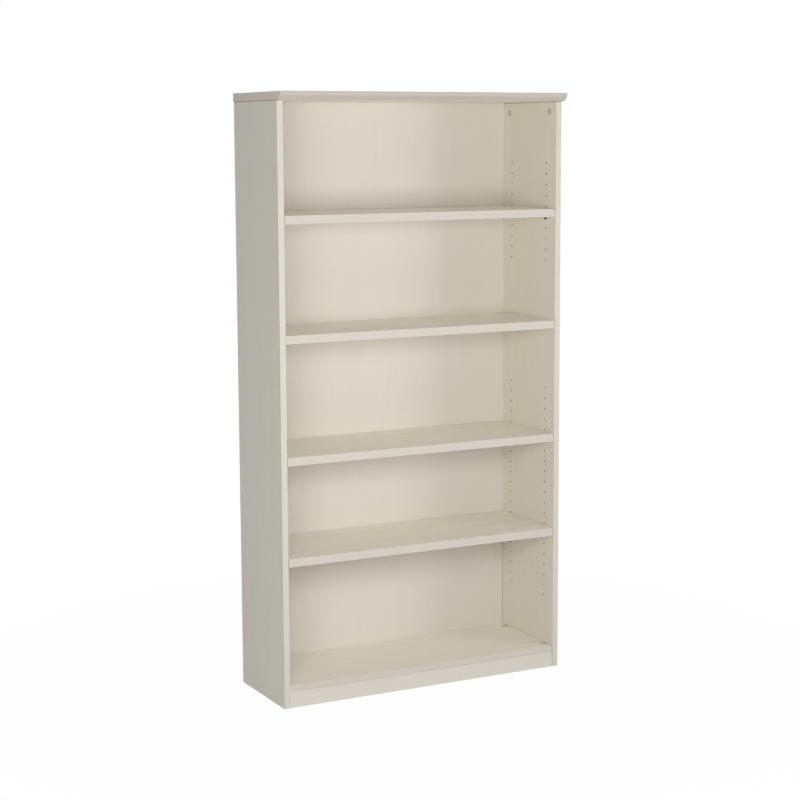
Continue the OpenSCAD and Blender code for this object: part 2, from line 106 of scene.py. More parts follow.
class BookcaseColours(bpy.types.PropertyGroup):
    """Colours of the finishes"""
    face: colour("Laminate", "#E5E0D3", "Ground colour of the washed laminate on the sides")
    # Painted light: the shelves' ground is lighter than the sides', for the stronger light and grazing
    # sheen on the shelf tops
    shelf: colour("Shelves", "#F8F3E8", "Ground colour of the laminate on the shelves")
    kick: colour("Toe kick", "#DDD8CF", "Ground colour of the laminate on the toe kick")
    back: colour("Back", "#DDD9D0", "Ground colour of the print on the back panel")
    band: colour("Side bands", "#D8D3C9", "Ground colour of the side panels' edge bands")
    shelf_band: colour("Shelf bands", "#D3CDC4", "Ground colour of the shelves' edge bands")
    top: colour("Top", "#C8BFB5", "Ground colour of the laminate on the top")
    top_end: colour("Top's ends", "#DDD3C6", "Ground colour of the top's end bands")
    grain: colour("Grain", "#D3CCBC", "Colour in the pores of the printed grain")
    core: colour("Core", "#B79A6E", "Particle board where an edge has no band")
    # Painted shade: the near-black colour of the pin holes' inner walls stands for the shade deep in the
    # holes
    bore: colour("Bores", "#1C150E", "Scorched particle board inside the pin holes")
    # Painted shadow: the dark colour of the hair-wide line where two boards meet, for the shade in that
    # hairline gap
    joint_shadow: colour("Joints", "#4A4234", "Hair-wide open line where two boards meet")
    hardboard: colour("Hardboard", "#A98D66", "Rear face of the back panel")
    pin: colour("Shelf pins", "#3A3022", "Dark bronzed steel of the shelf pins")
    zinc: colour("Zinc", "#A9AAA8", "Zinc plate on the bolts and nails")
    cast: colour("Cast zinc", "#CCC6B8", "Die-cast zinc of the cams, dulled by a warm lacquer")
    cap: colour("Cover caps", "#C6BEB0", "Moulded caps over the top's cams")
    housing: colour("Housings", "#D2C9B6", "Moulded housings of the shelf connectors")
    beech: colour("Dowels", "#C9A46C", "Bare beech of the dowels")


class BookcaseSizes(bpy.types.PropertyGroup):
    """Sizes of the parts that the scene makes"""
    land: length("Land", 10.8 * MM, "Height of the upright face along the top's front")
    bevel: length("Bevel", 16.5 * MM, "How far the bevel under that face reaches back")
    brow: length("Brow", 2 * MM, "Rounding of the top's upper front edge")
    arris: length("Arris", 0.8 * MM, "Rounding of the top's other long edges")
    streak: length("Streak width", 3.0 * MM, "Width of one soft streak of the print")
    streak_run: length("Streak length", 90 * MM, "Length of one soft streak of the print")
    stripe: length("Stripe width", 22 * MM, "Width of one broad faint stripe of the print")
    stripe_run: length("Stripe length", 900 * MM, "Length of one broad faint stripe of the print")
    pore: length("Pore width", 0.7 * MM, "Width of one printed pore")
    pore_run: length("Pore length", 9 * MM, "Length of one printed pore")
    # Widths of the painted shadow lines where two boards meet, and where the sides meet the top
    joint_shadow: length("Joint width", 0.8 * MM, "Width of the dark line where two boards meet")
    top_joint_shadow: length("Top joint width", 1.4 * MM, "Width of the dark line where the sides meet the top")
    pin_stem: length("Pin stem", 4.85 * MM, "Diameter of a shelf pin's stem")
    pin_rise: length("Pin rise", 0.1 * MM, "Height of a shelf pin's seat above its stem")
    pin_lip: length("Pin lip", 1 * MM, "Height of the upright face along a shelf pin's seat")
    pin_foot: length("Pin foot", 2.4 * MM, "Length of a shelf pin's head at its foot")
    pin_ease: length("Pin easing", 0.3 * MM, "Rounding of the edges of a shelf pin's head")
    pin_groove: length("Pin groove", 0.25 * MM, "Depth of the grooves round a shelf pin's stem")
    flutes: count("Dowel flutes", 18, "Glue flutes round a dowel")
    flute_depth: length("Flute depth", 0.3 * MM, "Depth of a dowel's flutes")
    bolt_neck: length("Bolt neck", 4 * MM, "Diameter of a bolt's neck, behind its ball head")
    bolt_shaft: length("Bolt shaft", 6 * MM, "Diameter of a bolt's plain shaft")
    bolt_thread: length("Bolt thread", 5 * MM, "Diameter over a bolt's screw thread")
    bolt_thread_run: length("Thread length", 11 * MM, "Length of a bolt's screw thread")
    thread_pitch: length("Thread pitch", 1.8 * MM, "Step of the bolts' wood thread")
    bolt_depth: length("Bolt depth", 9 * MM, "Depth of a bolt's axis below the face its cam is let into")
    bolt_way_in: length("Bolt way in", 7.2 * MM, "Width of the way into a cam for its bolt's head")
    slot: length("Cross recess", 1.4 * MM, "Width of the cross recess in a cam")
    slot_reach: length("Recess length", 7 * MM, "Length of the cross recess in a cam")
    slot_depth: length("Recess depth", 2.2 * MM, "Depth of the cross recess in a cam")
    nail_shank: length("Nail shank", 1.6 * MM, "Diameter of a nail's shank")
    seed: count("Seed", 7, "Seed of the turns that like fittings differ by")


def colours():
    return bpy.context.scene.bookcase_colours


def sizes():
    return bpy.context.scene.bookcase_sizes


# ---- Materials ----

def add_node(tree, kind, sockets=(), **settings):
    """Adds a node. settings are its own properties, and sockets are pairs of an input and its value, or the
    socket or node that it is linked from."""
    made = tree.nodes.new(kind)
    for name, value in settings.items():
        setattr(made, name, value)
    for key, value in sockets:
        if isinstance(value, bpy.types.Node):
            value = value.outputs[0]
        if isinstance(value, bpy.types.NodeSocket):
            tree.links.new(value, made.inputs[key])
        else:
            made.inputs[key].default_value = value
    return made


def new_material(name, shading=()):
    """A material with an empty tree but for its shader and output. shading are pairs of an input of the
    shader and its value."""
    material = bpy.data.materials.new(name)
    material.use_nodes = True
    tree = material.node_tree
    tree.nodes.clear()
    shader = add_node(tree, "ShaderNodeBsdfPrincipled", shading)
    add_node(tree, "ShaderNodeOutputMaterial", [("Surface", shader)])
    return material, tree, shader


def rgba(value):
    """A colour with its alpha, or a socket as it is."""
    return value if isinstance(value, bpy.types.NodeSocket) else (*value, 1.0)


def speckle(tree, place, cell, low, high, detail=2.0):
    """0 to 1 where a noise whose cells have the given sizes along X, Y and Z rises from low to high."""
    spread = add_node(tree, "ShaderNodeMapping",
                      [("Vector", place), ("Scale", [1 / size for size in cell])])
    noise = add_node(tree, "ShaderNodeTexNoise",
                     [("Vector", spread), ("Scale", 1.0), ("Detail", detail), ("Roughness", 0.6)])
    return add_node(tree, "ShaderNodeMapRange",
                    [("Value", noise), ("From Min", low), ("From Max", high)])


def layered(tree, ground, *coats):
    """The colour of a ground with coats over it. A coat is a mask, how much of it shows at most, and a
    colour."""
    tone = rgba(ground)
    for mask, most, over in coats:
        share = add_node(tree, "ShaderNodeMapRange", [("Value", mask), ("To Max", most)])
        # Where this node mixes colours, they are its inputs 6 and 7 and its output 2
        mix = add_node(tree, "ShaderNodeMix", [(0, share), (6, tone), (7, rgba(over))], data_type="RGBA")
        tone = mix.outputs[2]
    return tone


def within(tree, place, boxes):
    """1 where a point lies in one of the boxes, else 0. A box gives the lowest and highest place on some of
    the axes."""
    split = add_node(tree, "ShaderNodeSeparateXYZ", [(0, place)])
    found = None
    for box in boxes:
        inside = None
        for axis, (low, high) in box.items():
            slab = add_node(tree, "ShaderNodeMath",
                            [(0, split.outputs[axis]), (1, (low + high) / 2), (2, (high - low) / 2)],
                            operation="COMPARE")
            inside = slab if inside is None else add_node(
                tree, "ShaderNodeMath", [(0, inside), (1, slab)], operation="MULTIPLY")
        found = inside if found is None else add_node(
            tree, "ShaderNodeMath", [(0, found), (1, inside)], operation="MAXIMUM")
    return found


def finish(tree, shader, tone, relief, smooth, rough, depth, strength, upward=True):
    """Gives a shader its colour, a roughness from smooth to rough as the relief goes from 0 to 1, and that
    relief as a bump, sunk by depth where it isn't upward."""
    tree.links.new(tone, shader.inputs["Base Color"])
    sheen = add_node(tree, "ShaderNodeMapRange",
                     [("Value", relief), ("To Min", smooth), ("To Max", rough)])
    tree.links.new(sheen.outputs[0], shader.inputs["Roughness"])
    bump = add_node(tree, "ShaderNodeBump",
                    [("Strength", strength), ("Distance", depth), ("Height", relief)], invert=not upward)
    tree.links.new(bump.outputs[0], shader.inputs["Normal"])
    return sheen


def washed_print(tree, place, ground, axis):
    """The colour of a washed wood print with its grain along axis, and a mask of its pores: fine soft
    streaks and broad faint stripes. The pores are drawn three times as coarse as real ones, to show."""
    c, s = colours(), sizes()

    def grain(across, along, low, high, detail=2.0):
        return speckle(tree, place, [along if key == axis else across for key in "XYZ"], low, high, detail)

    pores = grain(s.pore, s.pore_run, 0.52, 0.66)
    streaks = grain(s.streak, s.streak_run, 0.45, 0.75)
    stripes = grain(s.stripe, s.stripe_run, 0.35, 0.68, 1.0)
    tone = layered(tree, ground, (streaks, 0.22, c.grain), (stripes, 0.10, c.grain), (pores, 0.13, c.grain))
    return tone, pores


def worn_roughness(tree, shader, sheen, bare, rough):
    """Makes the shader at least as rough as rough where bare is 1."""
    dull = add_node(tree, "ShaderNodeMath", [(0, bare), (1, rough)], operation="MULTIPLY")
    most = add_node(tree, "ShaderNodeMath", [(0, sheen), (1, dull)], operation="MAXIMUM")
    tree.links.new(most.outputs[0], shader.inputs["Roughness"])


def laminate(name, ground, axis, bare=(), shaded_bores=(), joints=(), painted_light_boxes=()):
    """Melamine-faced particle board with a washed wood print: fine soft streaks along the grain, a satin
    sheen that dulls in the pores, tan chips in the bare boxes where a cut shows the core, painted shade of
    near-black brown inside the pin holes, a hair-wide painted shadow line where two boards meet, and the
    shelves' lighter print as painted light where it is asked for."""
    c = colours()
    material, tree, shader = new_material(name, [("IOR", 1.5), ("Specular IOR Level", 0.3)])
    place = add_node(tree, "ShaderNodeTexCoord").outputs["Object"]
    # Painted light: these boxes take the shelves' lighter ground
    if painted_light_boxes:
        ground = layered(tree, ground, (within(tree, place, painted_light_boxes), 1.0, c.shelf))
    tone, pores = washed_print(tree, place, ground, axis)
    sheen = finish(tree, shader, tone, pores, smooth=0.38, rough=0.5,
                   depth=0.04 * MM, strength=0.3, upward=False)
    if bare:
        shown = within(tree, place, bare)
        # Pressed chips, from tan to brown
        chip = 2.4 * MM
        chips = add_node(tree, "ShaderNodeTexVoronoi", [("Vector", place), ("Scale", 1 / chip)])
        shade = add_node(tree, "ShaderNodeSeparateColor", [(0, chips.outputs["Color"])])
        core = layered(tree, c.core, (shade, 1.0, [x * 0.62 for x in c.core]))
        tone = layered(tree, tone, (shown, 1.0, core))
        worn_roughness(tree, shader, sheen, shown, 0.85)
    if shaded_bores:
        # Painted shade: the pin holes' inner walls are made near black
        tone = layered(tree, tone, (within(tree, place, shaded_bores), 1.0, c.bore))
    # Painted shadow: a hair-wide dark line where two boards meet
    if joints:
        tone = layered(tree, tone, (within(tree, place, joints), 1.0, c.joint_shadow))
    tree.links.new(tone, shader.inputs["Base Color"])
    return material


def hardboard(joints):
    """Thin hardboard with the same print on its front as the laminate, and bare brown fibre elsewhere: a
    dull, faintly mottled face with short felted fibres."""
    c = colours()
    material, tree, shader = new_material("printed_hardboard", [("IOR", 1.5), ("Specular IOR Level", 0.3)])
    place = add_node(tree, "ShaderNodeTexCoord").outputs["Object"]
    front, pores = washed_print(tree, place, c.back, "Z")
    sheen = finish(tree, shader, front, pores, smooth=0.40, rough=0.52,
                   depth=0.04 * MM, strength=0.3, upward=False)
    # Painted shadow: a hair-wide dark line where the back panel meets the sides
    front = layered(tree, front, (within(tree, place, joints), 1.0, c.joint_shadow))
    cloudy = speckle(tree, place, (60 * MM,) * 3, 0.3, 0.7, 4.0)
    fibres = speckle(tree, place, (1.5 * MM, 0.8 * MM, 4 * MM), 0.4, 0.7)
    rear = layered(tree, c.hardboard, (cloudy, 0.5, [x * 0.8 for x in c.hardboard]),
                   (fibres, 0.35, [x * 0.7 for x in c.hardboard]))
    bare = within(tree, place, [{"Y": (BACK_LO.y + SKIN, BACK_HI.y + SKIN)}])
    tree.links.new(layered(tree, front, (bare, 1.0, rear)), shader.inputs["Base Color"])
    worn_roughness(tree, shader, sheen, bare, 0.75)
    return material


def fitting_place(tree):
    """Where a point of a fitting is in the fitting's own frame, with Z out of the face that it sits in."""
    return add_node(tree, "ShaderNodeAttribute", attribute_name="own_place").outputs["Vector"]


def bronzed_steel():
    """Steel, chemically blackened to a dark bronze: near black with a soft low sheen, fine tool marks, and
    a little paler in worn patches."""
    material, tree, shader = new_material("bronzed_steel", [("Metallic", 0.6), ("Specular IOR Level", 0.3)])
    place, base = fitting_place(tree), colours().pin
    worn = speckle(tree, place, (1.6 * MM,) * 3, 0.55, 0.85, 3.0)
    marks = speckle(tree, place, (40 * MM, 40 * MM, 0.25 * MM), 0.3, 0.7, 1.0)
    tone = layered(tree, base, (worn, 0.8, [x * 1.8 + 0.008 for x in base]))
    finish(tree, shader, tone, marks, smooth=0.5, rough=0.62, depth=0.03 * MM, strength=0.5)
    return material


def zinc_casting():
    """Die-cast zinc under a warm clear lacquer: a dull pale grey, faintly grainy and clouded."""
    material, tree, shader = new_material("die_cast_zinc", [("Metallic", 0.7)])
    place, base = fitting_place(tree), colours().cast
    clouds = speckle(tree, place, (5 * MM,) * 3, 0.3, 0.7, 3.0)
    grit = speckle(tree, place, (0.35 * MM,) * 3, 0.3, 0.7)
    tone = layered(tree, base, (clouds, 0.8, [x * 0.78 for x in base]))
    finish(tree, shader, tone, grit, smooth=0.45, rough=0.6, depth=0.04 * MM, strength=0.6)
    return material


def zinc_plate():
    """Bright zinc plate on drawn steel: cool grey, smooth, with faint lengthwise drawing lines."""
    material, tree, shader = new_material("zinc_plated_steel", [("Metallic", 1.0)])
    place, base = fitting_place(tree), colours().zinc
    clouds = speckle(tree, place, (3 * MM,) * 3, 0.35, 0.7, 3.0)
    lines = speckle(tree, place, (0.3 * MM, 0.3 * MM, 12 * MM), 0.35, 0.65)
    tone = layered(tree, [min(1, x * 1.25) for x in base], (clouds, 1.0, base))
    finish(tree, shader, tone, lines, smooth=0.25, rough=0.42, depth=0.02 * MM, strength=0.4)
    return material


def moulded_plastic(name, base):
    """Moulded nylon with a fine spark-eroded skin: matt, even in tone, with a soft wide highlight."""
    material, tree, shader = new_material(name, [("IOR", 1.53), ("Specular IOR Level", 0.35)])
    place = fitting_place(tree)
    skin = speckle(tree, place, (0.4 * MM,) * 3, 0.35, 0.65)
    flow = speckle(tree, place, (6 * MM,) * 3, 0.35, 0.7)
    tone = layered(tree, base, (flow, 1.0, [x * 0.93 for x in base]))
    finish(tree, shader, tone, skin, smooth=0.42, rough=0.56, depth=0.03 * MM, strength=0.5)
    return material


def beech():
    """Bare beech turned along its grain: pinkish tan with short dark flecks and a dull, dry face."""
    material, tree, shader = new_material("bare_beech", [("IOR", 1.5)])
    place, base = fitting_place(tree), colours().beech
    growth = speckle(tree, place, (1.8 * MM, 1.8 * MM, 60 * MM), 0.35, 0.65)
    flecks = speckle(tree, place, (0.3 * MM, 0.3 * MM, 2.5 * MM), 0.58, 0.72)
    tone = layered(tree, base, (growth, 1.0, [x * 0.82 for x in base]),
                   (flecks, 0.7, [x * 0.5 for x in base]))
    finish(tree, shader, tone, flecks, smooth=0.66, rough=0.8, depth=0.05 * MM, strength=0.5, upward=False)
    return material


# ---- Shapes ----

def dress(piece, material):
    piece.data.materials.clear()
    piece.data.materials.append(material)


def new_object(name, data):
    made = bpy.data.objects.new(name, data)
    bpy.context.scene.collection.objects.link(made)
    return made


def as_object(name, made):
    """Turns a bmesh into an object with smooth faces and crisp edges, and uses the bmesh up."""
    mesh = bpy.data.meshes.new(name)
    made.to_mesh(mesh)
    made.free()
    mesh.shade_smooth()
    mesh.set_sharp_from_angle(angle=CRISP)
    return new_object(name, mesh)


def evaluated_mesh(piece):
    depsgraph = bpy.context.evaluated_depsgraph_get()
    return bpy.data.meshes.new_from_object(piece.evaluated_get(depsgraph), depsgraph=depsgraph)


def combined(body, tool, operation):
    """The bmesh left after an exact boolean of body with tool. Both bmeshes are used up."""
    first, second = as_object("body", body), as_object("tool", tool)
    boolean = first.modifiers.new("boolean", "BOOLEAN")
    boolean.operation = operation
    boolean.solver = "EXACT"
    boolean.use_self = True
    boolean.object = second
    mesh = evaluated_mesh(first)
    result = bmesh.new()
    result.from_mesh(mesh)
    for piece in (first, second):
        bpy.data.meshes.remove(piece.data)
    bpy.data.meshes.remove(mesh)
    bmesh.ops.remove_doubles(result, verts=result.verts, dist=0.001 * MM)
    return result


def turned(outline, sides, wave=None):
    """A solid of revolution about +Z through (radius, height) pairs that start and end on the axis.
    wave(height, angle) is added to the radius of each point."""
    made = bmesh.new()
    rings = []
    for radius, height in outline:
        ring = []
        for k in range(sides if radius else 1):
            turn = 2 * math.pi * k / sides
            reach = radius + (wave(height, turn) if wave and radius else 0)
            ring.append(made.verts.new((reach * math.cos(turn), reach * math.sin(turn), height)))
        rings.append(ring)
    for below, above in zip(rings, rings[1:]):
        for k in range(sides):
            way_round = ((below, k), (below, k + 1), (above, k + 1), (above, k))
            corners = list(dict.fromkeys(ring[i % len(ring)] for ring, i in way_round))
            if len(corners) > 2:
                made.faces.new(corners)
    bmesh.ops.recalc_face_normals(made, faces=made.faces)
    return made


def eased(corners, steps=6):
    """The outline through (y, z, radius) corners, with an arc of that radius at each."""
    outline = []
    for k, (y, z, radius) in enumerate(corners):
        corner = Vector((y, z))
        before = (Vector(corners[k - 1][:2]) - corner).normalized()
        after = (Vector(corners[(k + 1) % len(corners)][:2]) - corner).normalized()
        half = before.angle(after) / 2
        centre = corner + (before + after).normalized() * radius / math.sin(half)
        spoke = corner + before * radius / math.tan(half) - centre
        for i in range(steps + 1 if radius else 1):
            turn = Matrix.Rotation((math.pi - 2 * half) * i / steps, 2)
            outline.append(centre + turn @ spoke)
    return outline


def prism(section, stations):
    """A solid along X from a closed section of (y, z) points. Each station is an x and how far the section
    is drawn in there."""
    inward = []
    for k, point in enumerate(section):
        before, after = Vector(section[k - 1]), Vector(section[(k + 1) % len(section)])
        along = (Vector(point) - before).normalized() + (after - Vector(point)).normalized()
        along.normalize()
        inward.append(Vector((-along.y, along.x)))
    made = bmesh.new()
    rings = [[made.verts.new((x, y + draw * way.x, z + draw * way.y))
              for (y, z), way in zip(section, inward)] for x, draw in stations]
    for below, above in zip(rings, rings[1:]):
        for k in range(len(section)):
            n = (k + 1) % len(section)
            made.faces.new((below[k], below[n], above[n], above[k]))
    made.faces.new(rings[0])
    made.faces.new(list(reversed(rings[-1])))
    bmesh.ops.recalc_face_normals(made, faces=made.faces)
    return made


def eased_end(end, way, ease):
    """Stations that draw a prism's end in by ease, with a soft edge. way is 1 at its high end, or -1."""
    soft = ease * 0.3
    return [(end - way * ease, 0), (end - way * soft, soft), (end, ease)]


def block(low, high):
    """A box between two corners, used to cut."""
    made = bmesh.new()
    bmesh.ops.create_cube(made, size=1)
    size = Vector(high) - Vector(low)
    place = Matrix.Translation((Vector(high) + Vector(low)) / 2)
    bmesh.ops.transform(made, matrix=place @ Matrix.Diagonal((*size, 1)), verts=made.verts)
    return made


def bore(start, way, radius, reach, sides=32):
    """A round cutter from start along way."""
    made = turned([(0, 0), (radius, 0), (radius, reach), (0, reach)], sides)
    turn = UP.rotation_difference(way).to_matrix().to_4x4()
    bmesh.ops.transform(made, matrix=Matrix.Translation(start) @ turn, verts=made.verts)
    return made


def added(first, *others):
    """One bmesh with the faces of several, which are used up."""
    for other in others:
        mesh = bpy.data.meshes.new("part")
        other.to_mesh(mesh)
        other.free()
        first.from_mesh(mesh)
        bpy.data.meshes.remove(mesh)
    return first


def settle(piece, body, node):
    """Says which body a piece rides on, and hides the CAD node that it stands for."""
    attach(piece, body)
    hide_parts(node)


def solids(name):
    """The corners of each separate solid in a CAD node, found on a merged copy."""
    made = bmesh.new()
    made.from_mesh(NODES[name].data)
    bmesh.ops.remove_doubles(made, verts=made.verts, dist=0.001 * MM)
    found, seen = [], set()
    for start in made.verts:
        if start in seen:
            continue
        group, waiting = [], [start]
        seen.add(start)
        while waiting:
            vert = waiting.pop()
            group.append(vert.co)
            for edge in vert.link_edges:
                other = edge.other_vert(vert)
                if other not in seen:
                    seen.add(other)
                    waiting.append(other)
        found.append((Vector([min(co[i] for co in group) for i in range(3)]),
                      Vector([max(co[i] for co in group) for i in range(3)])))
    made.free()
    return found


def outward(point):
    """Along X, away from the middle of the bookcase."""
    return Vector((math.copysign(1, point.x), 0, 0))


def face_way(middle):
    """Out of the face that a cam is let into: inward on the sides, rearward on the toe kick."""
    return -outward(middle) if middle.z > FIXED_HI.z else REARWARD.copy()


def bolt_way(middle):
    """Up into the top for a cam on a side, and outward for one on the toe kick."""
    return UP.copy() if middle.z > FIXED_HI.z else outward(middle)


def shelf_way(middle):
    """Up out of the bottom shelf, and down out of the fixed one."""
    return -UP if middle.z > FIXED_LO.z else UP.copy()


def seats(name, way_of, bolt_way_of=None, drop=None):
    """(place, way, bolt way) of each solid in a node: the middle of its outer end, its direction out of the
    face that it is let into, and the direction of its bolt. drop is how far the place is below the solid's
    highest point, where that isn't half of its height."""
    found = []
    for low, high in solids(name):
        middle = (low + high) / 2
        if drop:
            middle.z = high.z - drop
        way = way_of(middle)
        end = max(low.dot(way), high.dot(way))
        toward = bolt_way_of(middle) if bolt_way_of else way.orthogonal()
        found.append((middle + (end - middle.dot(way)) * way, way, toward))
    return found


def fitting_size(name):
    """Width and length of a node's first solid, from its shortest and longest sides."""
    low, high = solids(name)[0]
    sides = sorted(high - low)
    return sides[0], sides[-1]


# ---- Setting like fittings with Geometry Nodes ----

def setting_tree():
    """Sets a fitting at each point of a mesh, along the point's own directions, with its own turn."""
    tree = bpy.data.node_groups.new("set_fittings", "GeometryNodeTree")
    for name, kind in (("Seats", "Geometry"), ("Fitting", "Object"), ("Finish", "Material"),
                       ("Widest turn", "Float"), ("Seed", "Int")):
        tree.interface.new_socket(name, in_out="INPUT", socket_type="NodeSocket" + kind)
    tree.interface.items_tree["Widest turn"].subtype = "ANGLE"
    tree.interface.new_socket("Fittings", in_out="OUTPUT", socket_type="NodeSocketGeometry")
    given = add_node(tree, "NodeGroupInput").outputs
    shape = add_node(tree, "GeometryNodeObjectInfo", [("Object", given["Fitting"])])
    way, toward = (add_node(tree, "GeometryNodeInputNamedAttribute", [("Name", name)],
                            data_type="FLOAT_VECTOR") for name in ("way", "toward"))
    upright = add_node(tree, "FunctionNodeAlignRotationToVector", [("Vector", way)], axis="Z")
    aimed = add_node(tree, "FunctionNodeAlignRotationToVector",
                     [("Rotation", upright), ("Vector", toward)], axis="X", pivot_axis="Z")
    least = add_node(tree, "ShaderNodeMath", [(0, given["Widest turn"]), (1, -1.0)], operation="MULTIPLY")
    # A random number's least and most are this node's inputs 2 and 3, and the number is its output 1
    twist = add_node(tree, "FunctionNodeRandomValue",
                     [(2, least), (3, given["Widest turn"]), ("Seed", given["Seed"])], data_type="FLOAT")
    spin = add_node(tree, "FunctionNodeAxisAngleToRotation", [("Angle", twist.outputs[1])])
    facing = add_node(tree, "FunctionNodeRotateRotation",
                      [("Rotation", aimed), ("Rotate By", spin)], rotation_space="LOCAL")
    placed = add_node(tree, "GeometryNodeInstanceOnPoints",
                      [("Points", given["Seats"]), ("Instance", shape.outputs["Geometry"]),
                       ("Rotation", facing)])
    real = add_node(tree, "GeometryNodeRealizeInstances", [("Geometry", placed)])
    finished = add_node(tree, "GeometryNodeSetMaterial",
                        [("Geometry", real), ("Material", given["Finish"])])
    add_node(tree, "NodeGroupOutput", [("Fittings", finished)])
    return tree


def set_fittings(name, shape, places, material, replaced, body="case", turn=0.0):
    """Sets copies of a bmesh at (place, way, bolt way) seats as one piece that stands for a CAD node. Each
    copy is turned at random about its own axis, by turn at most."""
    tree = bpy.data.node_groups.get("set_fittings") or setting_tree()
    fitting = as_object("fitting", shape)
    own = fitting.data.attributes.new("own_place", "FLOAT_VECTOR", "POINT")
    for vert in fitting.data.vertices:
        own.data[vert.index].vector = vert.co
    mesh = bpy.data.meshes.new(name)
    mesh.from_pydata([place for place, _, _ in places], [], [])
    for key, column in (("way", 1), ("toward", 2)):
        layer = mesh.attributes.new(key, "FLOAT_VECTOR", "POINT")
        for k, seat in enumerate(places):
            layer.data[k].vector = seat[column]
    piece = new_object(name, mesh)
    modifier = piece.modifiers.new("set", "NODES")
    modifier.node_group = tree
    socket = {item.name: item.identifier for item in tree.interface.items_tree if item.in_out == "INPUT"}
    values = {"Fitting": fitting, "Finish": material, "Widest turn": turn, "Seed": sizes().seed}
    for key, value in values.items():
        modifier[socket[key]] = value
    made = evaluated_mesh(piece)
    piece.modifiers.clear()
    piece.data = made
    bpy.data.meshes.remove(mesh)
    bpy.data.meshes.remove(fitting.data)
    if not made.polygons:
        raise RuntimeError(f"{name} has no faces")
    dress(piece, material)
    settle(piece, body, replaced)


# ---- Pieces ----

class DressBoards(bpy.types.Operator):
    """Finishes the boards, the back panel and the edge bands"""
    bl_idname = "bookcase.dress_boards"
    bl_label = "Boards and edge bands"

    def execute(self, context):
        c, s = colours(), sizes()
        # Boxes of the painted shadow lines: along the inner faces of the sides, and just under the top
        ends = [{"X": (INNER - s.joint_shadow, INNER + CLEARANCE)}, {"X": (-INNER - CLEARANCE, s.joint_shadow - INNER)}]
        under_top_shadow = [{"Z": (TOP_LO.z - s.top_joint_shadow, TOP_LO.z + CLEARANCE)}]
        for name, (axis, thin) in BOARDS.items():
            low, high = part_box(name)
            k = "XYZ".index(thin)
            core = [{thin: (low[k] + SKIN, high[k] - SKIN)}]
            if "side_panel" in name:
                # The pin holes' inner walls get painted shade
                shaded_bores = self.pin_hole_shade_boxes(low, high)
                board = laminate("laminate_" + name, c.face, axis, core, shaded_bores, under_top_shadow)
            else:
                # The shelves' lighter ground is painted light
                ground = c.kick if name == "toe_kick" else c.shelf
                board = laminate("laminate_" + name, ground, axis, core, joints=ends)
            dress(NODES[name], board)
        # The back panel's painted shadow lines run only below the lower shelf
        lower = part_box("lower_shelf")[1].z
        dress(NODES["back_panel"], hardboard([{**end, "Z": (0, lower)} for end in ends]))
        for axis, ground, joints in (("X", c.shelf_band, ends), ("Z", c.band, under_top_shadow)):
            banding = laminate("edge_band_along_" + axis, ground, axis, joints=joints)
            for name, along in BANDS.items():
                if along == axis:
                    dress(NODES[name], banding)
        return {"FINISHED"}

    def pin_hole_shade_boxes(self, low, high):
        """Boxes round the inner walls of a side panel's two columns of pin holes, where the shade inside
        the holes is painted.
        """
        boxes, from_ends = [], 50 * MM
        for row in ("front", "rear"):
            pin_low, pin_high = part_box(f"upper_pin_{row}_left")
            boxes.append({"X": (low.x + SKIN, high.x - SKIN),
                          "Y": (pin_low.y - 2 * SKIN, pin_high.y + 2 * SKIN),
                          "Z": (low.z + from_ends, high.z - from_ends)})
        return boxes


class BuildTop(bpy.types.Operator):
    """Builds the top with its bevelled front, eased edges, rabbet, bores and end bands"""
    bl_idname = "bookcase.build_top"
    bl_label = "Top"

    def execute(self, context):
        section = self.section()
        board = prism(section, [(TOP_LO.x, 0), (TOP_HI.x, 0)])
        piece = as_object("top_board", combined(board, self.cutters(), "DIFFERENCE"))
        bare = [{"Y": (BACK_LO.y - 4 * CLEARANCE, TOP_HI.y + CLEARANCE)}]
        # Painted light: the top's underside takes the shelves' lighter print, for the light that reaches it
        # from below
        underside = [{"Z": (TOP_LO.z - SKIN, TOP_LO.z + SKIN)}]
        dress(piece, laminate("laminate_top", colours().top, "X", bare, painted_light_boxes=underside))
        settle(piece, "case", "top_panel")
        banding = laminate("edge_band_along_Y", colours().top_end, "Y")
        for side, sign in (("left", -1), ("right", 1)):
            node = f"top_{side}_end_band"
            low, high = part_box(node)
            inner, outer = sorted((low.x, high.x), key=abs)
            stations = [(inner, 0), *eased_end(outer, sign, sizes().arris / 2)]
            band = as_object(f"top_{side}_band", prism(section, stations))
            dress(band, banding)
            settle(band, "case", node)
        return {"FINISHED"}

    def section(self):
        """The top seen from its end, from the rear underside corner up and round."""
        s = sizes()
        return eased([(TOP_HI.y, TOP_LO.z, 0), (TOP_HI.y, TOP_HI.z, s.arris), (TOP_LO.y, TOP_HI.z, s.brow),
                      (TOP_LO.y, TOP_HI.z - s.land, s.arris), (TOP_LO.y + s.bevel, TOP_LO.z, s.arris)])

    def cutters(self):
        """The rear rabbet, and the bores that hold the bolts, dowels and nails."""
        s, past = sizes(), 1 * MM
        below = TOP_LO.z - past
        rabbet = block((BACK_LO.x - CLEARANCE, BACK_LO.y - 2 * CLEARANCE, below),
                       (BACK_HI.x + CLEARANCE, TOP_HI.y + past, BACK_HI.z + CLEARANCE))
        holes = []
        for node, radius in (("cam_bolts", s.bolt_thread / 2), ("wood_dowels", None)):
            for low, high in solids(node):
                if high.z > TOP_LO.z:
                    start = (low + high) / 2
                    start.z = below
                    wide = radius or (high.x - low.x) / 2
                    holes.append(bore(start, UP, wide + CLEARANCE, high.z + CLEARANCE - below))
        for low, high in solids("back_panel_nails"):
            if high.z > TOP_LO.z:
                tip = (low + high) / 2
                tip.y = low.y - CLEARANCE
                holes.append(bore(tip, REARWARD, (s.nail_shank + CLEARANCE) / 2, BACK_HI.y - tip.y, 16))
        return added(rabbet, *holes)


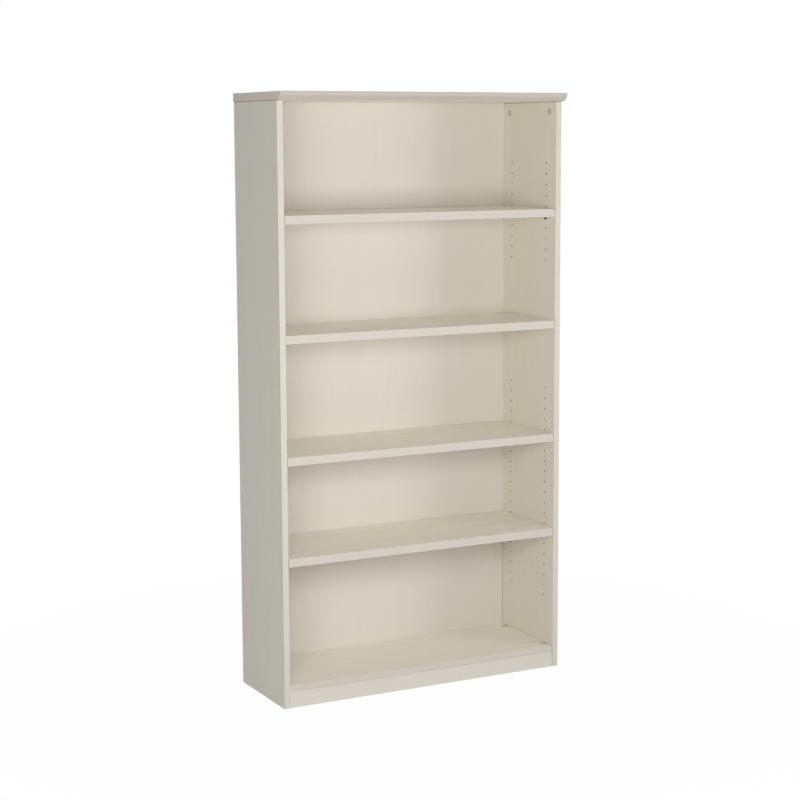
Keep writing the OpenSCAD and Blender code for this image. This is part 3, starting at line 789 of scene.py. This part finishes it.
class BuildPins(bpy.types.Operator):
    """Builds the twelve shelf pins, each on its own body"""
    bl_idname = "bookcase.build_pins"
    bl_label = "Shelf pins"

    def execute(self, context):
        s, material = sizes(), bronzed_steel()
        seat = s.pin_stem / 2 + s.pin_rise
        for name in PINS:
            low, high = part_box(name)
            places = seats(name, lambda middle: -outward(middle), lambda middle: UP, seat)
            set_fittings(name + "_steel", self.pin(high - low, seat), places, material,
                         replaced=name, body=name)
        return {"FINISHED"}

    def pin(self, size, seat):
        """A pin with its seat's edge at z = 0 and up along +X: a wedge-shaped head with eased edges, and a
        round stem with three grooves."""
        s = sizes()
        reach = INNER - min(abs(corner.x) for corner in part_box(PINS[0]))
        half, foot, ease = size.y / 2, seat - size.z, s.pin_ease
        section = eased([(seat, -reach, 0), (seat, 0, ease), (seat - s.pin_lip, 0, ease),
                         (foot, s.pin_foot - reach, ease), (foot, -reach, 0)], 4)
        head = prism(section, [*reversed(eased_end(-half, -1, ease)), *eased_end(half, 1, ease)])
        upright = Matrix.Rotation(-math.pi / 2, 4, "Z")
        bmesh.ops.transform(head, matrix=upright, verts=head.verts)
        radius, run, groove, chamfer = s.pin_stem / 2, size.x, s.pin_groove, 0.4 * MM
        outline = [(0, -run), (radius - chamfer, -run), (radius, chamfer - run)]
        for share in (0.3, 0.5, 0.7):
            z = (run - reach) * share - run
            outline += [(radius, z - groove), (radius - groove, z - groove / 2),
                        (radius - groove, z + groove / 2), (radius, z + groove)]
        inside = s.pin_foot / 2 - reach
        outline += [(radius, inside), (0, inside)]
        return combined(head, turned(outline, 28), "UNION")


class BuildCams(bpy.types.Operator):
    """Builds the cams, the shelf connectors' housings and the cover caps"""
    bl_idname = "bookcase.build_cams"
    bl_label = "Cams, housings and caps"

    def execute(self, context):
        c, cast = colours(), zinc_casting()
        depth, across = fitting_size("cam_locks")
        set_fittings("cams", self.cam(across, depth), seats("cam_locks", face_way, bolt_way), cast,
                     replaced="cam_locks")
        depth, across = fitting_size("connector_cams")
        places = seats("connector_cams", shelf_way, outward)
        set_fittings("shelf_cams", self.cam(across, depth), places, cast,
                     replaced="connector_cams")
        low, high = solids("connector_housings")[0]
        housing = self.housing(high - low, across, depth)
        set_fittings("shelf_housings", housing, places, moulded_plastic("moulded_nylon", c.housing),
                     replaced="connector_housings")
        low, high = solids("cam_cover_caps")[0]
        cap = self.cap(high.y - low.y, high.x - low.x)
        set_fittings("cover_caps", cap, seats("cam_cover_caps", face_way, bolt_way),
                     moulded_plastic("moulded_cap_plastic", c.cap),
                     replaced="cam_cover_caps")
        return {"FINISHED"}

    def cross(self, width, reach, top, bottom):
        """A cross that runs down from top to bottom, as one solid."""
        first = block((-reach / 2, -width / 2, bottom), (reach / 2, width / 2, top))
        second = block((-width / 2, -reach / 2, bottom), (width / 2, reach / 2, top))
        return combined(first, second, "UNION")

    def way_in(self, back, reach):
        """The cutter of the way in for a bolt's head. It runs along +X, and starts back from the middle."""
        s = sizes()
        return bore(Vector((-back, 0, -s.bolt_depth)), RIGHTWARD, s.bolt_way_in / 2, reach, 28)

    def cam(self, across, depth):
        """A round cam with a chamfered rim, a raised ring, a cross recess and a way in for its bolt."""
        s = sizes()
        r, rim, ring, step, past = across / 2, 0.5 * MM, 1.6 * MM, 0.25 * MM, 1 * MM
        body = turned([(0, -depth), (r - rim, -depth), (r, rim - depth), (r, -rim), (r - rim, 0),
                       (r - ring, 0), (r - ring - step, -step), (0, -step)], 40)
        body = combined(body, self.way_in(s.bolt_way_in / 2, r + s.bolt_way_in), "DIFFERENCE")
        return combined(body, self.cross(s.slot, s.slot_reach, past, -s.slot_depth), "DIFFERENCE")

    def housing(self, size, cam_across, cam_depth):
        """A round housing with an eased rim, a flat at the shelf's end, and room for its cam and bolt."""
        across, depth = size.y, size.z
        r, rim, past = across / 2, 0.4 * MM, 1 * MM
        outline = [(0, -depth), (r - rim, -depth), (r, rim - depth), (r, -rim), (r - rim, 0), (0, 0)]
        body, flat = turned(outline, 56), size.x - r
        body = combined(body, block((flat, -across, -2 * depth), (flat + across, across, depth)),
                        "DIFFERENCE")
        pocket = bore(UP * past, -UP, cam_across / 2 + CLEARANCE, cam_depth + CLEARANCE + past, 48)
        return combined(combined(body, pocket, "DIFFERENCE"), self.way_in(0, across), "DIFFERENCE")

    def cap(self, across, depth):
        """A thin domed cap with a soft rim and a gate dimple, and a cross that plugs into the cam."""
        s = sizes()
        r, flange, ease = across / 2, 0.8 * MM, 0.1 * MM
        round_in, round_up, steps = 0.45 * MM, 0.3 * MM, 6
        outline = [(0, -flange), (r - ease, -flange), (r, ease - flange), (r, -round_in)]
        for k in range(1, steps):
            turn = math.pi / 2 * k / steps
            outline.append((r - round_in + round_in * math.cos(turn),
                            round_up * math.sin(turn) - round_in))
        dome = [(r - 1.2 * MM, -0.1 * MM), (r * 0.55, -0.03 * MM), (1.3 * MM, 0)]
        dimple = [(1.0 * MM, -0.12 * MM), (0, -0.14 * MM)]
        stub = self.cross(s.slot - 2 * CLEARANCE, s.slot_reach - 2 * CLEARANCE, -flange / 2, -depth)
        return combined(turned(outline + dome + dimple, 48), stub, "UNION")


class BuildBolts(bpy.types.Operator):
    """Builds the bolts that the cams pull, with ball heads, necks and wood threads"""
    bl_idname = "bookcase.build_bolts"
    bl_label = "Bolts"

    def execute(self, context):
        plate = zinc_plate()
        for name, node, way_of in (("bolts", "cam_bolts", bolt_way),
                                   ("shelf_bolts", "connector_bolts", outward)):
            head, run = fitting_size(node)
            set_fittings(name, self.bolt(head, run), seats(node, way_of), plate,
                         replaced=node, turn=math.pi)
        return {"FINISHED"}

    def bolt(self, head, run):
        """A bolt whose tip is at z = 0 and whose ball head is at the far end."""
        s = sizes()
        neck, shaft, over = s.bolt_neck / 2, s.bolt_shaft / 2, s.bolt_thread / 2
        # The head's profile from its flat end: shares of its radius, and heights in mm
        ball = [(0, 0), (0.55, 0), (0.85, 0.5), (1, 1.3), (1, 2.4), (0.8, 3.4)]
        outline = [(head / 2 * share, height * MM - run) for share, height in ball]
        neck_start, neck_end, shaft_start = 4 * MM - run, 7 * MM - run, 7.9 * MM - run
        outline += [(neck, neck_start), (neck, neck_end), (shaft, shaft_start)]
        start, depth, ease = -s.bolt_thread_run, 0.55 * MM, 0.4 * MM
        outline += [(shaft, start - ease), (shaft - ease, start), (over - depth, start)]
        core = over - 0.02 * MM - depth
        first, last, rings = start + 0.5 * MM, -1.2 * MM, 66
        outline += [(core, first + (last - first) * k / rings) for k in range(rings + 1)]
        outline += [(core - ease, -0.5 * MM), (0.5 * MM, 0), (0, 0)]

        def thread(height, turn):
            """A ridge five eighths of a step wide, which fades in and out over 1 mm at its ends."""
            if not first <= height <= last:
                return 0
            phase = (height / s.thread_pitch - turn / (2 * math.pi)) % 1
            fade = min(1, (height - first) / MM, (last - height) / MM)
            return depth * fade * max(0, 1 - abs(phase - 0.5) * 2 / 0.625)
        return turned(outline, 24, thread)


class BuildDowels(bpy.types.Operator):
    """Builds the fluted beech dowels"""
    bl_idname = "bookcase.build_dowels"
    bl_label = "Dowels"

    def execute(self, context):
        across, run = fitting_size("wood_dowels")
        places = seats("wood_dowels", self.dowel_way)
        set_fittings("fluted_dowels", self.dowel(across / 2, run), places, beech(),
                     replaced="wood_dowels", turn=math.pi)
        return {"FINISHED"}

    def dowel_way(self, middle):
        """Dowels under the top and along the toe kick stand upright, and the others lie along X."""
        at_side = abs(middle.x) > INNER - 100 * MM
        return outward(middle) if at_side and middle.z < FIXED_HI.z else UP.copy()

    def dowel(self, radius, run):
        """A dowel with straight glue flutes and chamfered ends, from z = 0 down."""
        s, chamfer = sizes(), radius / 4
        outline = [(0, -run), (radius - chamfer, -run), (radius, chamfer - run),
                   (radius, chamfer * 1.5 - run), (radius, -chamfer * 1.5), (radius, -chamfer),
                   (radius - chamfer, 0), (0, 0)]

        def flute(height, turn):
            if not chamfer * 1.4 - run < height < -chamfer * 1.4:
                return 0
            return -s.flute_depth * max(0, math.sin(s.flutes * turn)) ** 2
        return turned(outline, s.flutes * 6, flute)


class BuildNails(bpy.types.Operator):
    """Builds the nails that hold the back panel"""
    bl_idname = "bookcase.build_nails"
    bl_label = "Back panel nails"

    def execute(self, context):
        across, run = fitting_size("back_panel_nails")
        places = seats("back_panel_nails", lambda middle: REARWARD.copy())
        set_fittings("nails", self.nail(across / 2, sizes().nail_shank / 2, run), places, zinc_plate(),
                     replaced="back_panel_nails", turn=math.pi)
        return {"FINISHED"}

    def nail(self, head, shank, run):
        """A flat-headed nail with its head's face at z = 0, a dished rim and a diamond point."""
        point = [(0, -run), (shank * 0.2, 0.05 * MM - run), (shank, 2.2 * MM - run)]
        under_head = [(shank, -1.3 * MM), (shank * 1.3, -0.8 * MM), (head * 0.9, -0.75 * MM)]
        rim = [(head, -0.5 * MM), (head, -0.2 * MM), (head - 0.2 * MM, 0)]
        dish = [(head * 0.55, -0.04 * MM), (head * 0.5, -0.1 * MM), (0, -0.12 * MM)]
        return turned(point + under_head + rim + dish, 16)


class BuildStage(bpy.types.Operator):
    """Makes the floor, the lamps, the world and the camera"""
    bl_idname = "bookcase.build_stage"
    bl_label = "Studio"

    def execute(self, context):
        context.scene.view_settings.view_transform = "Standard"
        self.floor()
        self.world()
        self.lamp("key_lamp", azimuth=-38, distance=3.5, size=1.1, power=34.5)
        self.lamp("fill_lamp", azimuth=48, distance=3.5, size=1.1, power=25.0)
        self.lamp("front_lamp", azimuth=-10, distance=2.4, size=0.9, power=15.5)
        self.lamp("rear_lamp", azimuth=165, distance=3.5, size=1.1, power=14.0)
        self.camera()
        return {"FINISHED"}

    def floor(self):
        """A pale matt floor that the eye sees as near white, with the bookcase's soft shadow left."""
        reach = 30.0
        mesh = bpy.data.meshes.new("floor")
        mesh.from_pydata([(-reach, -reach, 0), (reach, -reach, 0), (reach, reach, 0), (-reach, reach, 0)],
                         [], [(0, 1, 2, 3)])
        floor = new_object("floor", mesh)
        material, tree, shader = new_material(
            "matt_floor", [("Base Color", rgba(linear("#DCDCDC"))), ("Roughness", 0.9)])
        place = add_node(tree, "ShaderNodeTexCoord").outputs["Object"]
        away = add_node(tree, "ShaderNodeVectorMath", [(0, place)], operation="LENGTH")
        # The shadow fades out between 0.6 and 1.8 m from the bookcase's middle
        fade = add_node(tree, "ShaderNodeMapRange",
                        [("Value", away.outputs["Value"]), ("From Min", 0.6), ("From Max", 1.8),
                         ("To Min", 0.97), ("To Max", 1.0)], interpolation_type="SMOOTHSTEP")
        seen = add_node(tree, "ShaderNodeMath", [(0, fade), (1, sight(tree))], operation="MULTIPLY")
        white = add_node(tree, "ShaderNodeEmission", [("Color", WHITE), ("Strength", 1.0)])
        mix = add_node(tree, "ShaderNodeMixShader", [(0, seen), (1, shader), (2, white)])
        out = next(n for n in tree.nodes if n.type == "OUTPUT_MATERIAL")
        tree.links.new(mix.outputs[0], out.inputs["Surface"])
        dress(floor, material)

    def world(self):
        """A studio that the eye sees as white, and that lights the bookcase softly from all round."""
        world = bpy.data.worlds.new("studio")
        bpy.context.scene.world = world
        world.use_nodes = True
        tree = world.node_tree
        tree.nodes.clear()
        soft = add_node(tree, "ShaderNodeBackground", [("Color", WHITE), ("Strength", 0.325)])
        white = add_node(tree, "ShaderNodeBackground", [("Color", WHITE), ("Strength", 1.0)])
        mix = add_node(tree, "ShaderNodeMixShader", [(0, sight(tree)), (1, soft), (2, white)])
        add_node(tree, "ShaderNodeOutputWorld", [("Surface", mix)])

    def lamp(self, name, azimuth, distance, size, power):
        """A square soft box beside the bookcase, azimuth degrees right of straight in front."""
        height, aim = 1.3, Vector((0, 0, 0.95))
        data = bpy.data.lights.new(name, "AREA")
        data.size = size
        data.energy = power
        lamp = new_object(name, data)
        turn = math.radians(azimuth)
        lamp.location = (math.sin(turn) * distance, -math.cos(turn) * distance, height)
        lamp.rotation_euler = (aim - lamp.location).to_track_quat("-Z", "Y").to_euler()
        lamp.visible_camera = False

    def camera(self):
        """A long lens, a little lower than the top, that looks down at the bookcase from its left."""
        data = bpy.data.cameras.new("camera")
        data.sensor_width = 36.0
        data.lens = 82.4
        data.shift_y = -0.015
        camera = new_object("camera", data)
        camera.location = (-2.4844, -4.7258, 1.6021)
        yaw, pitch, roll = math.radians(27.619), math.radians(-7.802), math.radians(-0.256)
        aim = Matrix.Rotation(-yaw, 3, "Z") @ Matrix.Rotation(math.pi / 2 + pitch, 3, "X")
        camera.rotation_euler = (aim @ Matrix.Rotation(roll, 3, "Z")).to_euler()
        bpy.context.scene.camera = camera


def sight(tree):
    """1 for a ray from the eye, a reflection or a clear thing, and 0 for light that falls on things."""
    path = add_node(tree, "ShaderNodeLightPath").outputs
    seen = add_node(tree, "ShaderNodeMath", [(0, path["Is Camera Ray"]), (1, path["Is Glossy Ray"])],
                    operation="MAXIMUM")
    return add_node(tree, "ShaderNodeMath", [(0, seen), (1, path["Is Transmission Ray"])],
                    operation="MAXIMUM")


OPERATORS = (DressBoards, BuildTop, BuildPins, BuildCams, BuildBolts, BuildDowels, BuildNails, BuildStage)


class BookcasePanel(bpy.types.Panel):
    """Lists the bookcase's sizes, colours and pieces"""
    bl_idname = "VIEW3D_PT_bookcase"
    bl_label = "Bookcase"
    bl_space_type = "VIEW_3D"
    bl_region_type = "UI"
    bl_category = "Bookcase"

    def draw(self, context):
        for group in (colours(), sizes()):
            for name in group.__annotations__:
                self.layout.prop(group, name)
        for operator in OPERATORS:
            self.layout.operator(operator.bl_idname)


CLASSES = (BookcaseColours, BookcaseSizes, *OPERATORS, BookcasePanel)


def register():
    for made in CLASSES:
        bpy.utils.register_class(made)
    bpy.types.Scene.bookcase_colours = bpy.props.PointerProperty(type=BookcaseColours)
    bpy.types.Scene.bookcase_sizes = bpy.props.PointerProperty(type=BookcaseSizes)


def unregister():
    del bpy.types.Scene.bookcase_sizes
    del bpy.types.Scene.bookcase_colours
    for made in reversed(CLASSES):
        bpy.utils.unregister_class(made)


def main():
    register()
    for operator in OPERATORS:
        getattr(bpy.ops.bookcase, operator.bl_idname.split(".")[1])()


if __name__ == "__main__":
    main()
